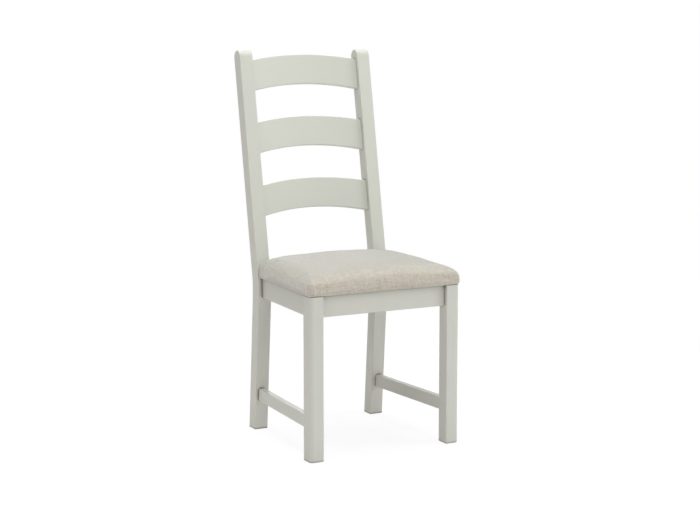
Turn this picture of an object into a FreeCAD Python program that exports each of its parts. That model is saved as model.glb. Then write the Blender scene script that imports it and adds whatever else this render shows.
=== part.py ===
import FreeCAD, Part

import math
import os
import re

import Sketcher
from FreeCAD import Placement, Rotation, Vector

# A ladderback dining chair, in millimetres. X runs across the chair, Y from front to back
# and Z up. The origin lies on the floor, under the middle of the chair's width and depth.

doc = FreeCAD.newDocument("ladderback_chair")

# The driving sizes. A place along the depth counts from the front faces of the front legs.
SIZES = (
    ("chair_height", 1050, "floor to the tops of the rear posts"),
    ("front_width", 448, "across the front legs, outside"),
    ("rear_width", 407, "across the rear posts, outside"),
    ("leg_height", 432, "floor to the top of the seat frame"),
    ("leg_width", 39, "front leg, across"),
    ("leg_depth", 39, "front leg, front to back"),
    ("leg_round", 11, "rounding of a front leg's outer front corner"),
    ("wood_arris", 1.5, "softening of the other wooden edges"),
    ("foot_bevel", 1.2, "bevel round the foot of a leg or post"),
    ("post_width", 39, "rear post, across"),
    ("post_depth", 38, "rear post, front to back, measured level"),
    ("post_seat_y", 354, "front face of a rear post at the seat"),
    ("post_bend_low", 367, "height where the post starts to splay back below the seat"),
    ("post_bend_high", 422, "height where the post starts to rake back above the seat"),
    ("post_splay", 4.5, "angle of the lower post, degrees"),
    ("post_rake", 10.2, "angle of the upper post, degrees"),
    ("post_bend_round", 200, "radius that softens the bends of a rear post"),
    ("slat_height", 85.5, "slat, from edge to edge at its ends"),
    ("slat_thickness", 18, "slat, front to back"),
    ("slat_bow", 16, "how far the middle of a slat lies behind its ends"),
    ("slat_arch_top", 17, "rise of a slat's top edge"),
    ("slat_arch_bottom", 20, "rise of a slat's bottom edge"),
    ("slat_setback", 10, "slat behind the front face of the posts, at its ends"),
    ("slat_first", 220.5, "upper bend of the post to the middle of the lowest slat"),
    ("slat_top_drop", 49.5, "centre of the post's round top down to the middle of the top slat"),
    ("slat_arris", 2, "rounding of a slat's long edges"),
    ("rail_height", 56, "seat rail, top to bottom"),
    ("rail_thickness", 22, "seat rail"),
    ("front_rail_setback", 12.5, "front rail behind the faces of the front legs"),
    ("side_rail_setback", 12, "side rail inside the outer faces of the legs"),
    ("back_rail_setback", 8, "back rail behind the front faces of the posts"),
    ("stretcher_top_z", 117.5, "floor to the top of a side stretcher"),
    ("stretcher_height", 34.5, "side stretcher, top to bottom"),
    ("stretcher_thickness", 18, "side stretcher"),
    ("stretcher_setback", 8.5, "stretcher inside the outer faces of the legs"),
    ("tenon_length", 20, "tenon of a slat or stretcher"),
    ("tenon_thickness", 9, "tenon of a slat or stretcher"),
    ("tenon_shoulder", 6, "shoulder above and below a stretcher's tenon"),
    ("slat_tenon_height", 60, "tenon of a slat, top to bottom"),
    ("joint_fit", 0.1, "room on each side of a tenon, dowel or screw shank"),
    ("joint_end_room", 1, "room past the end of a tenon or dowel"),
    ("dowel_diameter", 8, "dowel between a rail and a leg or post"),
    ("dowel_length", 38, "dowel"),
    ("dowel_first", 12, "rail's bottom to its lower dowel in the front and back rails"),
    ("dowel_pitch", 24, "dowel to dowel in one end of a rail"),
    ("dowel_stagger", 12, "side rail's dowels above the front and back rails' dowels"),
    ("block_height", 32, "corner block, top to bottom"),
    ("block_drop", 2, "corner block's top under the top of the rails"),
    ("block_leg_gap", 8, "corner block's end to the leg or post beside it"),
    ("block_reach", 56, "contact of a corner block with each rail"),
    ("block_screw_along", 24, "block's outer end to the screw into that rail"),
    ("block_screw_length", 32, "screw through a corner block into a rail"),
    ("block_screw_cover", 17, "wood of the block under that screw's head"),
    ("seat_screw_across", 20, "seat screw inside the leg or post beside it"),
    ("seat_screw_deep", 22, "seat screw behind that leg, or in front of that post"),
    ("seat_screw_length", 44, "screw through a corner block into the seat board"),
    ("screw_diameter", 4.5, "screw shank"),
    ("screw_head", 9, "diameter of a screw's head"),
    ("screw_head_height", 2.6, "height of a screw's head"),
    ("seat_overhang", 4.5, "padded seat past the outer faces of the legs and posts"),
    ("seat_back_gap", 2.5, "padded seat to the front faces of the posts"),
    ("seat_height", 66.8, "padded seat, from the frame to the top of its crown"),
    ("crown_radius", 1780, "radius of the seat's crown"),
    ("crown_y", 225, "front faces of the legs to the top of the crown"),
    ("seat_front_round", 29.5, "seat's front corners, seen from above"),
    ("seat_rear_round", 29.5, "seat's rear corners, seen from above"),
    ("seat_shoulder", 25, "rounding round the top of the seat"),
    ("seat_tuck", 8, "rounding round the underside of the seat"),
    ("fabric_thickness", 1.2, "seat cover"),
    ("flap_width", 53, "seat cover folded under the board"),
    ("board_thickness", 12, "seat board"),
    ("board_inset", 11, "seat board's edge inside the cover"),
    ("dust_cover_thickness", 0.6, "dust cover"),
    ("dust_cover_inset", 45, "dust cover's edge inside the cover"),
    ("staple_length", 10, "crown of a staple"),
    ("staple_thickness", 0.6, "wire of a staple"),
    ("staple_width", 1.2, "crown of a staple, across"),
    ("staple_inset", 4, "staples inside the dust cover's edge"),
    ("staple_pitch", 52, "about the distance from staple to staple"),
)

# What follows from them. The post's top is a half circle on a strip that leans back.
PLACES = (
    ("half_front", "front_width / 2"),
    ("half_rear", "rear_width / 2"),
    ("rail_bottom", "leg_height - rail_height"),
    ("front_rail_half", "half_front - leg_width"),
    ("back_rail_half", "half_rear - post_width"),
    ("top_round", "post_depth * cos(post_rake) / 2"),
    ("top_centre_z", "chair_height - top_round"),
    ("top_centre_y", "post_depth / 2 + (top_centre_z - post_bend_high) * tan(post_rake)"),
    ("post_run", "(top_centre_z - post_bend_high) / cos(post_rake)"),
    ("slat_pitch", "(post_run - slat_top_drop - slat_first) / 2"),
    ("post_foot_y", "post_bend_low * tan(post_splay)"),
    ("slat_reach_up", "post_run - slat_top_drop + slat_height / 2 + slat_arch_top"),
    ("slat_reach_back", "slat_setback + slat_bow + slat_thickness"),
    ("slat_back_y", "slat_reach_up * sin(post_rake) + slat_reach_back * cos(post_rake)"),
    ("mid_depth", "(post_seat_y + slat_back_y - seat_overhang) / 2"),
    ("rail_taper", "(half_front - half_rear) / (post_seat_y - leg_depth)"),
    ("stretcher_back", "post_seat_y + post_foot_y - stretcher_top_z * tan(post_splay)"),
    ("stretcher_taper", "(half_front - half_rear) / (stretcher_back - leg_depth)"),
    ("stretcher_bottom", "stretcher_top_z - stretcher_height"),
    ("rail_mid", "side_rail_setback + rail_thickness / 2"),
    ("stretcher_mid", "stretcher_setback + stretcher_thickness / 2"),
    ("hole_depth", "dowel_length / 2 + joint_end_room"),
    ("hole_radius", "dowel_diameter / 2 + joint_fit"),
    ("screw_hole", "screw_diameter / 2 + joint_fit"),
    ("head_hole", "screw_head / 2 + joint_fit"),
    ("front_inner_y", "front_rail_setback + rail_thickness"),
    ("back_inner_y", "post_seat_y + back_rail_setback"),
    ("seat_back_y", "post_seat_y - seat_back_gap"),
    ("seat_front_half", "half_front + seat_overhang + rail_taper * (seat_overhang + leg_depth)"),
    ("seat_rear_half", "half_rear + seat_overhang + rail_taper * seat_back_gap"),
    ("seat_front_y", "seat_overhang + crown_y"),
    ("seat_rear_y", "seat_back_y - crown_y"),
    ("seat_slant", "(seat_front_half - seat_rear_half) / (seat_front_y + seat_rear_y)"),
    ("seat_side_angle", "90 - atan(seat_slant) / 1deg"),
    ("block_top", "leg_height - block_drop"),
    ("block_screw_z", "block_top - block_height / 2"),
    ("block_bottom", "block_top - block_height"),
    ("block_pilot", "block_screw_length - block_screw_cover + joint_end_room"),
    ("width_step", "half_front - half_rear"),
    ("cut_reach", "post_seat_y + 3 * post_depth"),
    ("crown_reach", "seat_front_half + seat_front_y / 2"),
    ("dust_cover_bottom", "leg_height - dust_cover_thickness"),
    ("tenon_slot", "tenon_thickness + 2 * joint_fit"),
    ("tenon_hole", "tenon_length + joint_end_room"),
)

SIZE_NAMES = {name for name, value, meaning in SIZES}
PLACE_NAMES = {name for name, rule in PLACES}
WORD = re.compile(r"[a-z]+(?:_[a-z]+)+")


def link(text):
    """The same expression with each size's name led by the sheet that holds it."""

    def with_sheet(found):
        name = found.group(0)
        if name in SIZE_NAMES:
            return "Sizes." + name
        if name in PLACE_NAMES:
            return "Places." + name
        raise NameError(name)

    return WORD.sub(with_sheet, str(text))


def make_sheets():
    sizes = doc.addObject("Spreadsheet::Sheet", "Sizes")
    for row, (name, number, meaning) in enumerate(SIZES, start=1):
        sizes.set(f"A{row}", str(number))
        sizes.setAlias(f"A{row}", name)
        sizes.set(f"B{row}", meaning)
    doc.recompute()
    places = doc.addObject("Spreadsheet::Sheet", "Places")
    for row, (name, rule) in enumerate(PLACES, start=1):
        places.set(f"A{row}", "=" + link(rule).replace("Places.", ""))
        places.setAlias(f"A{row}", name)
    doc.recompute()
    return sizes


sizes_sheet = make_sheets()


def value(text):
    """The number that an expression of the sheets gives now."""
    return float(sizes_sheet.evalExpression(link(text)))


def bind(thing, **rules):
    """Binds properties to expressions; a double underscore in a keyword stands for a dot."""
    for name, rule in rules.items():
        thing.setExpression(name.replace("__", "."), link(rule))


def place(thing, x="0", y="0", z="0", turn=None):
    """Places an object at x, y, z, after a turn given as an axis and an angle."""
    if turn is not None:
        axis, angle = turn
        thing.Placement = Placement(Vector(0, 0, 0), Rotation(axis, value(angle)))
        bind(thing, Placement__Rotation__Angle=angle)
    bind(thing, Placement__Base__x=x, Placement__Base__y=y, Placement__Base__z=z)


def new_body(name):
    body = doc.addObject("PartDesign::Body", name)
    body.Label = name
    return body


def flat_sketch(body, name, role, lift="0"):
    """A sketch on one of the body's own origin planes, lifted along the plane's normal."""
    sketch = body.newObject("Sketcher::SketchObject", name)
    origin_plane = next(f for f in body.Origin.OriginFeatures if f.Role == role)
    sketch.AttachmentSupport = [(origin_plane, "")]
    sketch.MapMode = "FlatFace"
    if lift != "0":
        bind(sketch, AttachmentOffset__Base__z=lift)
    return sketch


def arc_through(start, end, radius):
    """The shorter arc from start to end; a positive radius bulges to the right of the way."""
    chord = end - start
    half = chord.Length / 2
    right = Vector(chord.y, -chord.x, 0).normalize()
    side = 1 if radius > 0 else -1
    size = max(abs(radius), half * 1.0001)
    to_centre = (size * size - half * half) ** 0.5
    centre = (start + end) * 0.5 - right * (side * to_centre)
    first, last = (start, end) if side > 0 else (end, start)
    angles = [math.atan2(p.y - centre.y, p.x - centre.x) for p in (first, last)]
    if angles[1] < angles[0]:
        angles[1] += 2 * math.pi
    return Part.ArcOfCircle(Part.Circle(centre, Vector(0, 0, 1), size), *angles)


def outline(sketch, corners):
    """Draws a closed outline and binds it. Each corner is (x, y) or (x, y, radius): with a
    radius, the way to the next corner is an arc, else a straight line."""
    points = [Vector(value(c[0]), value(c[1]), 0) for c in corners]
    count = len(corners)
    for i, corner in enumerate(corners):
        start, end = points[i], points[(i + 1) % count]
        if len(corner) == 3:
            sign = -1 if corner[2].startswith("-") else 1
            curve = arc_through(start, end, sign * value(corner[2].lstrip("-")))
        else:
            curve = Part.LineSegment(start, end)
        sketch.addGeometry(curve, False)
    ends = []
    for i in range(count):
        geometry = sketch.Geometry[i]
        starts_here = (geometry.StartPoint - points[i]).Length < 1e-6
        ends.append((1, 2) if starts_here else (2, 1))
    limits = []
    for i in range(count):
        after = (i + 1) % count
        limits.append(Sketcher.Constraint("Coincident", i, ends[i][1], after, ends[after][0]))
    sketch.addConstraint(limits)
    for i, corner in enumerate(corners):
        pin_down(sketch, i, ends[i][0], corner)


def pin_down(sketch, index, end, corner):
    """Fixes the start of one outline piece, and its radius where it is an arc."""
    for kind, axis, rule in (("DistanceX", -2, corner[0]), ("DistanceY", -1, corner[1])):
        if rule == "0":
            sketch.addConstraint(Sketcher.Constraint("PointOnObject", index, end, axis))
        else:
            row = sketch.addConstraint(
                Sketcher.Constraint(kind, -1, 1, index, end, value(rule))
            )
            bind(sketch, **{f"Constraints[{row}]": rule})
    if len(corner) == 3:
        rule = corner[2].lstrip("-")
        row = sketch.addConstraint(Sketcher.Constraint("Radius", index, value(rule)))
        bind(sketch, **{f"Constraints[{row}]": rule})


def pad(body, sketch, length):
    feature = body.newObject("PartDesign::Pad", sketch.Name + "_pad")
    feature.Profile = sketch
    bind(feature, Length=length)
    doc.recompute()
    return feature


def pocket(body, sketch):
    """Cuts a sketch through the whole piece, both ways from its plane."""
    feature = body.newObject("PartDesign::Pocket", sketch.Name + "_cut")
    feature.Profile = sketch
    feature.SideType = "Symmetric"
    feature.Type = "ThroughAll"
    before = feature.BaseFeature.Shape.Volume if feature.BaseFeature else 0
    doc.recompute()
    if not feature.Shape.Volume < before:
        raise ValueError(feature.Name + " removes nothing")
    return feature


def box(body, name, kind, at, size):
    """Adds or takes away a box: kind is Additive or Subtractive."""
    feature = body.newObject("PartDesign::" + kind + "Box", name)
    bind(feature, Length=size[0], Width=size[1], Height=size[2])
    place(feature, *at)
    return feature


TURNS = {"x": (Vector(0, 1, 0), "90"), "y": (Vector(1, 0, 0), "-90"), "z": None}


def round_hole(body, name, at, way, radius, depth):
    """A round hole that starts at a point and runs along x, y or z."""
    feature = body.newObject("PartDesign::SubtractiveCylinder", name)
    bind(feature, Radius=radius, Height=depth)
    place(feature, *at, turn=TURNS[way])
    return feature


def edges_where(feature, test):
    """Names of the edges whose middle and direction pass a test."""
    found = []
    for number, edge in enumerate(feature.Shape.Edges, start=1):
        if edge.Degenerated:
            continue
        middle = edge.valueAt((edge.FirstParameter + edge.LastParameter) / 2)
        along = edge.tangentAt((edge.FirstParameter + edge.LastParameter) / 2)
        if test(middle, along):
            found.append(f"Edge{number}")
    if not found:
        raise ValueError("no edge of " + feature.Name + " passes")
    return found


def soften(body, feature, edges, radius, kind="Fillet"):
    result = body.newObject("PartDesign::" + kind, feature.Name + "_" + kind.lower())
    result.Base = (feature, edges)
    bind(result, **{"Radius" if kind == "Fillet" else "Size": radius})
    doc.recompute()
    return result


def close(a, b):
    return abs(a - b) < 1e-4


def bevel_foot(body, feature):
    foot = edges_where(feature, lambda middle, along: close(middle.z, 0))
    return soften(body, feature, foot, "foot_bevel", "Chamfer")


def mirrored(source, name):
    """The same piece for the other side of the chair."""
    twin = doc.addObject("Part::Mirroring", name)
    twin.Label = name
    twin.Source = source
    twin.Normal = Vector(1, 0, 0)
    return twin


def pair(left):
    return [left, mirrored(left, left.Label.replace("_left", "_right"))]


def dowel_heights(bottom, lift):
    """The two dowels in one end of a rail, above the rail's bottom."""
    return [f"{bottom} + dowel_first + {lift}", f"{bottom} + dowel_first + {lift} + dowel_pitch"]


def on_rake(along, behind):
    """Level place and height of a point: so far up the upper post, so far behind its face."""
    level = f"({along}) * sin(post_rake) + ({behind}) * cos(post_rake)"
    height = f"post_bend_high + ({along}) * cos(post_rake) - ({behind}) * sin(post_rake)"
    return level, height


def make_front_leg():
    body = new_body("front_leg_left")
    plan = flat_sketch(body, "leg_plan", "XY_Plane")
    outline(plan, (
        ("leg_round", "0"),
        ("leg_width", "0"),
        ("leg_width", "leg_depth"),
        ("0", "leg_depth"),
        ("0", "leg_round", "leg_round"),
    ))
    leg = pad(body, plan, "leg_height")
    width, depth = value("leg_width"), value("leg_depth")
    corners = ((width, 0), (width, depth), (0, depth))
    sharp = edges_where(leg, lambda middle, along: abs(along.z) > 0.99 and any(
        close(middle.x, x) and close(middle.y, y) for x, y in corners))
    leg = bevel_foot(body, soften(body, leg, sharp, "wood_arris"))
    rail_y = "front_rail_setback + rail_thickness / 2"
    for i, height in enumerate(dowel_heights("rail_bottom", "0")):
        at = ("leg_width - hole_depth", rail_y, height)
        round_hole(body, f"front_dowel_hole_{i}", at, "x", "hole_radius", "hole_depth")
    for i, height in enumerate(dowel_heights("rail_bottom", "dowel_stagger")):
        at = ("rail_mid", "leg_depth - hole_depth", height)
        round_hole(body, f"side_dowel_hole_{i}", at, "y", "hole_radius", "hole_depth")
    at = (
        "stretcher_mid - tenon_slot / 2",
        "leg_depth - tenon_hole",
        "stretcher_bottom + tenon_shoulder - joint_fit",
    )
    size = ("tenon_slot", "tenon_hole", "stretcher_height - 2 * tenon_shoulder + 2 * joint_fit")
    box(body, "stretcher_mortise", "Subtractive", at, size)
    place(body, "-half_front", "-mid_depth")
    return body


def make_rear_post():
    body = new_body("rear_post_left")
    side = flat_sketch(body, "post_side", "YZ_Plane")
    outline(side, (
        ("post_foot_y", "0"),
        ("post_foot_y + post_depth", "0"),
        ("post_depth", "post_bend_low"),
        ("post_depth", "post_bend_high"),
        (
            "top_centre_y + top_round * cos(post_rake)",
            "top_centre_z - top_round * sin(post_rake)",
            "top_round",
        ),
        (
            "top_centre_y + top_round * sin(post_rake)",
            "top_centre_z + top_round * cos(post_rake)",
            "top_round",
        ),
        (
            "top_centre_y - top_round * cos(post_rake)",
            "top_centre_z + top_round * sin(post_rake)",
        ),
        ("0", "post_bend_high"),
        ("0", "post_bend_low"),
    ))
    post = pad(body, side, "post_width")
    bends = (value("post_bend_low"), value("post_bend_high"))
    knees = edges_where(post, lambda middle, along: abs(along.x) > 0.99 and any(
        close(middle.z, z) for z in bends))
    post = soften(body, post, knees, "post_bend_round")
    width = value("post_width")
    sharp = edges_where(post, lambda middle, along: middle.z > 1 and (
        close(middle.x, 0) or close(middle.x, width)) and abs(along.x) < 0.01)
    post = bevel_foot(body, soften(body, post, sharp, "wood_arris"))
    for i in range(3):
        along = f"slat_first + {i} * slat_pitch - slat_tenon_height / 2 - joint_fit"
        behind = "slat_setback + slat_thickness / 2 - tenon_slot / 2"
        level, height = on_rake(along, behind)
        slot = body.newObject("PartDesign::SubtractiveBox", f"slat_mortise_{i}")
        bind(slot, Length="tenon_hole", Width="tenon_slot")
        bind(slot, Height="slat_tenon_height + 2 * joint_fit")
        place(slot, "post_width - tenon_hole", level, height, turn=(Vector(1, 0, 0), "-post_rake"))
    for i, height in enumerate(dowel_heights("rail_bottom", "dowel_stagger")):
        at = ("rail_mid", "0", height)
        round_hole(body, f"side_dowel_hole_{i}", at, "y", "hole_radius", "hole_depth")
    for i, height in enumerate(dowel_heights("rail_bottom", "0")):
        at = ("post_width - hole_depth", "back_rail_setback + rail_thickness / 2", height)
        round_hole(body, f"back_dowel_hole_{i}", at, "x", "hole_radius", "hole_depth")
    at = (
        "stretcher_mid - tenon_slot / 2",
        "stretcher_back - post_seat_y",
        "stretcher_bottom + tenon_shoulder - joint_fit",
    )
    size = ("tenon_slot", "tenon_hole", "stretcher_height - 2 * tenon_shoulder + 2 * joint_fit")
    box(body, "stretcher_mortise", "Subtractive", at, size)
    place(body, "-half_rear", "post_seat_y - mid_depth")
    return body


def make_slat(name, index):
    """A slat in its own frame: across, behind its front corners, and up the rake."""
    body = new_body(name)
    plan = flat_sketch(body, name + "_plan", "XY_Plane", "-slat_height / 2")
    bow_radius = "(back_rail_half ^ 2 + slat_bow ^ 2) / (2 * slat_bow)"
    outline(plan, (
        ("-back_rail_half", "0", "-(" + bow_radius + ")"),
        ("back_rail_half", "0"),
        ("back_rail_half", "slat_thickness", "(" + bow_radius + ")"),
        ("-back_rail_half", "slat_thickness"),
    ))
    pad(body, plan, "slat_height + slat_arch_top")
    above = flat_sketch(body, name + "_above", "XZ_Plane")
    outline(above, (
        (
            "-back_rail_half",
            "slat_height / 2",
            "-(back_rail_half ^ 2 + slat_arch_top ^ 2) / (2 * slat_arch_top)",
        ),
        ("back_rail_half", "slat_height / 2"),
        ("back_rail_half", "slat_height + slat_arch_top"),
        ("-back_rail_half", "slat_height + slat_arch_top"),
    ))
    pocket(body, above)
    below = flat_sketch(body, name + "_below", "XZ_Plane")
    outline(below, (
        ("-back_rail_half", "-slat_height"),
        ("back_rail_half", "-slat_height"),
        (
            "back_rail_half",
            "-slat_height / 2",
            "(back_rail_half ^ 2 + slat_arch_bottom ^ 2) / (2 * slat_arch_bottom)",
        ),
        ("-back_rail_half", "-slat_height / 2"),
    ))
    strip = pocket(body, below)
    end = value("back_rail_half")
    long_edges = edges_where(strip, lambda middle, along: abs(middle.x) < end / 2)
    soften(body, strip, long_edges, "slat_arris")
    for side, start in (("left", "-back_rail_half - tenon_length"), ("right", "back_rail_half")):
        at = (start, "slat_thickness / 2 - tenon_thickness / 2", "-slat_tenon_height / 2")
        size = ("tenon_length", "tenon_thickness", "slat_tenon_height")
        box(body, f"{name}_{side}_tenon", "Additive", at, size)
    level, height = on_rake(f"slat_first + {index} * slat_pitch", "slat_setback")
    level = f"post_seat_y - mid_depth + {level}"
    place(body, "0", level, height, turn=(Vector(1, 0, 0), "-post_rake"))
    return body


def make_cross_rail(name, half, y, inner_face, screw_x):
    """The front or the back seat rail, centred on the chair's middle."""
    body = new_body(name)
    at = (f"-{half}", "0", "0")
    rail = box(body, name + "_bar", "Additive", at, (f"2 * {half}", "rail_thickness", "rail_height"))
    doc.recompute()
    long_edges = edges_where(rail, lambda middle, along: abs(along.x) > 0.99)
    soften(body, rail, long_edges, "wood_arris")
    for i, height in enumerate(dowel_heights("0", "0")):
        for side, start in (("left", f"-{half}"), ("right", f"{half} - hole_depth")):
            at = (start, "rail_thickness / 2", height)
            hole = f"{name}_{side}_hole_{i}"
            round_hole(body, hole, at, "x", "hole_radius", "hole_depth")
    start = "rail_thickness - block_pilot" if inner_face == "back" else "0"
    for side, sign in (("left", "-"), ("right", "")):
        at = (f"{sign}({screw_x})", start, "block_screw_z - rail_bottom")
        round_hole(body, f"{name}_{side}_pilot", at, "y", "screw_hole", "block_pilot")
    place(body, "0", f"{y} - mid_depth", "rail_bottom")
    return body


def cut_at_post(body, name):
    """Takes away what would lie behind the front face of the rear post."""
    side = flat_sketch(body, name + "_end", "YZ_Plane")
    outline(side, (
        ("post_seat_y + post_foot_y", "0"),
        ("cut_reach", "0"),
        ("cut_reach", "leg_height + rail_height"),
        (
            "post_seat_y + (leg_height + rail_height - post_bend_high) * tan(post_rake)",
            "leg_height + rail_height",
        ),
        ("post_seat_y", "post_bend_high"),
        ("post_seat_y", "post_bend_low"),
    ))
    return pocket(body, side)


def make_side_bar(name, setback, thickness, taper, bottom, height):
    """A bar from the back of the front leg to the front of the rear post on the left side."""
    body = new_body(name)
    plan = flat_sketch(body, name + "_plan", "XY_Plane", bottom)
    back = "post_seat_y + post_foot_y + post_depth"
    step = f"{taper} * ({back} - leg_depth)"
    outline(plan, (
        (setback, "leg_depth"),
        (f"{setback} + {thickness}", "leg_depth"),
        (f"{setback} + {thickness} + {step}", back),
        (f"{setback} + {step}", back),
    ))
    pad(body, plan, height)
    bar = cut_at_post(body, name)
    long_edges = edges_where(bar, lambda middle, along: abs(along.y) > 0.9)
    soften(body, bar, long_edges, "wood_arris")
    place(body, "-half_front", "-mid_depth")
    return body


def make_side_rail():
    name = "side_seat_rail_left"
    body = make_side_bar(
        name, "side_rail_setback", "rail_thickness", "rail_taper", "rail_bottom", "rail_height"
    )
    for i, height in enumerate(dowel_heights("rail_bottom", "dowel_stagger")):
        front = ("rail_mid", "leg_depth", height)
        round_hole(body, f"{name}_front_hole_{i}", front, "y", "hole_radius", "hole_depth")
        rear = ("rail_mid + width_step", "post_seat_y - hole_depth", height)
        round_hole(body, f"{name}_rear_hole_{i}", rear, "y", "hole_radius", "2 * hole_depth")
    for end, y in (("front", FRONT_SIDE_SCREW_Y), ("rear", REAR_SIDE_SCREW_Y)):
        at = (f"{side_rail_inside(y)} - block_pilot", y, "block_screw_z")
        depth = "block_pilot + joint_end_room"
        round_hole(body, f"{name}_{end}_pilot", at, "x", "screw_hole", depth)
    return body


def make_side_stretcher():
    name = "side_stretcher_left"
    body = make_side_bar(
        name,
        "stretcher_setback",
        "stretcher_thickness",
        "stretcher_taper",
        "stretcher_bottom",
        "stretcher_height",
    )
    size = ("tenon_thickness", "tenon_length", "stretcher_height - 2 * tenon_shoulder")
    x = "stretcher_mid - tenon_thickness / 2"
    z = "stretcher_bottom + tenon_shoulder"
    box(body, name + "_front_tenon", "Additive", (x, "leg_depth - tenon_length", z), size)
    box(body, name + "_rear_tenon", "Additive", (x + " + width_step", "stretcher_back", z), size)
    return body


# Where the corner blocks lie, from the outer face of the front leg and its front face.
FRONT_CORNER_X = "leg_width + block_leg_gap"
REAR_CORNER_X = "width_step + post_width + block_leg_gap"
FRONT_CORNER_Y = "leg_depth + block_leg_gap"
REAR_CORNER_Y = "post_seat_y - block_leg_gap"
FRONT_SIDE_SCREW_Y = FRONT_CORNER_Y + " + block_reach - block_screw_along"
REAR_SIDE_SCREW_Y = REAR_CORNER_Y + " - block_reach + block_screw_along"
FRONT_CROSS_SCREW_X = FRONT_CORNER_X + " + block_reach - block_screw_along"
REAR_CROSS_SCREW_X = REAR_CORNER_X + " + block_reach - block_screw_along"
SEAT_SCREWS = (
    ("leg_width + seat_screw_across", "leg_depth + seat_screw_deep"),
    ("width_step + post_width + seat_screw_across", "post_seat_y - seat_screw_deep"),
)


def side_rail_inside(y):
    """Inner face of the left side rail at a place along the depth."""
    return f"(side_rail_setback + rail_thickness + rail_taper * ({y} - leg_depth))"


def make_corner_block(name, corners, cross, side, seat_screw):
    """A block across an inner corner. cross and side each say where the hole for a screw's
    shank and the recess for its head begin, and the axis they run along."""
    body = new_body(name)
    plan = flat_sketch(body, name + "_plan", "XY_Plane", "block_bottom")
    outline(plan, corners)
    pad(body, plan, "block_height")
    shank_depth = "block_screw_cover + joint_end_room"
    for number, (shank, recess, way) in enumerate((cross, side)):
        round_hole(body, f"{name}_shank_{number}", shank, way, "screw_hole", shank_depth)
        round_hole(body, f"{name}_recess_{number}", recess, way, "head_hole", "block_reach")
    at = (*seat_screw, "block_bottom")
    round_hole(body, f"{name}_seat_hole", at, "z", "screw_hole", "block_height")
    place(body, "-half_front", "-mid_depth")
    return body


def make_corner_blocks():
    far_y = FRONT_CORNER_Y + " + block_reach"
    near_y = REAR_CORNER_Y + " - block_reach"
    front_cross_x = FRONT_CROSS_SCREW_X
    front_side_x = side_rail_inside(FRONT_SIDE_SCREW_Y)
    rear_side_x = side_rail_inside(REAR_SIDE_SCREW_Y)
    front = make_corner_block(
        "front_corner_block_left",
        (
            (FRONT_CORNER_X, "front_inner_y"),
            (FRONT_CORNER_X + " + block_reach", "front_inner_y"),
            (side_rail_inside(far_y), far_y),
            (side_rail_inside(FRONT_CORNER_Y), FRONT_CORNER_Y),
        ),
        (
            (front_cross_x, "front_inner_y - joint_end_room", "block_screw_z"),
            (front_cross_x, "front_inner_y + block_screw_cover", "block_screw_z"),
            "y",
        ),
        (
            (front_side_x + " - joint_end_room", FRONT_SIDE_SCREW_Y, "block_screw_z"),
            (front_side_x + " + block_screw_cover", FRONT_SIDE_SCREW_Y, "block_screw_z"),
            "x",
        ),
        SEAT_SCREWS[0],
    )
    rear = make_corner_block(
        "rear_corner_block_left",
        (
            (REAR_CORNER_X, "back_inner_y"),
            (side_rail_inside(REAR_CORNER_Y), REAR_CORNER_Y),
            (side_rail_inside(near_y), near_y),
            (REAR_CORNER_X + " + block_reach", "back_inner_y"),
        ),
        (
            (REAR_CROSS_SCREW_X, "back_inner_y - block_screw_cover", "block_screw_z"),
            (REAR_CROSS_SCREW_X, "back_inner_y - block_screw_cover - block_reach", "block_screw_z"),
            "y",
        ),
        (
            (rear_side_x + " - joint_end_room", REAR_SIDE_SCREW_Y, "block_screw_z"),
            (rear_side_x + " + block_screw_cover", REAR_SIDE_SCREW_Y, "block_screw_z"),
            "x",
        ),
        SEAT_SCREWS[1],
    )
    return pair(front) + pair(rear)


def group(name, members):
    """Several separate solids that share one node."""
    compound = doc.addObject("Part::Compound", name)
    compound.Label = name
    compound.Links = members
    return compound


def cylinder(name, at, way, radius, length):
    rod = doc.addObject("Part::Cylinder", name)
    bind(rod, Radius=radius, Height=length)
    place(rod, *at, turn=TURNS[way])
    return rod


def both_sides(x):
    """The chair's left and right place for a distance from the left leg's outer face."""
    return (("left", f"({x}) - half_front"), ("right", f"half_front - ({x})"))


def make_dowels():
    dowels = []
    half = "dowel_length / 2"
    ends = (
        ("front", "leg_width", "front_rail_setback + rail_thickness / 2"),
        ("back", "width_step + post_width", "post_seat_y + back_rail_setback + rail_thickness / 2"),
    )
    for end, x, y in ends:
        for side, across in both_sides(x):
            for i, height in enumerate(dowel_heights("rail_bottom", "0")):
                at = (f"{across} - {half}", f"{y} - mid_depth", height)
                name = f"{end}_{side}_dowel_{i}"
                dowels.append(cylinder(name, at, "x", "dowel_diameter / 2", "dowel_length"))
    for end, x, y in (
        ("leg", "rail_mid", "leg_depth"),
        ("post", "rail_mid + width_step", "post_seat_y"),
    ):
        for side, across in both_sides(x):
            for i, height in enumerate(dowel_heights("rail_bottom", "dowel_stagger")):
                at = (across, f"{y} - mid_depth - {half}", height)
                name = f"{end}_{side}_dowel_{i}"
                dowels.append(cylinder(name, at, "y", "dowel_diameter / 2", "dowel_length"))
    return group("rail_dowels", dowels)


def screw(name, seat, way, length, forwards):
    """A screw whose head bears at a seat and whose shank runs forwards or backwards along
    x, y or z from there."""
    x, y, z = seat
    axis = "xyz".index(way)
    shank, head = list(seat), list(seat)
    if forwards:
        head[axis] = f"{head[axis]} - screw_head_height"
    else:
        shank[axis] = f"{shank[axis]} - {length}"
    parts = [
        cylinder(name + "_shank", shank, way, "screw_diameter / 2", length),
        cylinder(name + "_head", head, way, "screw_head / 2", "screw_head_height"),
    ]
    whole = doc.addObject("Part::MultiFuse", name)
    whole.Shapes = parts
    return whole


def in_chair(x, y, z):
    """The same point counted from the chair's middle."""
    return (f"{x} - half_front", f"{y} - mid_depth", z)


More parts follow.
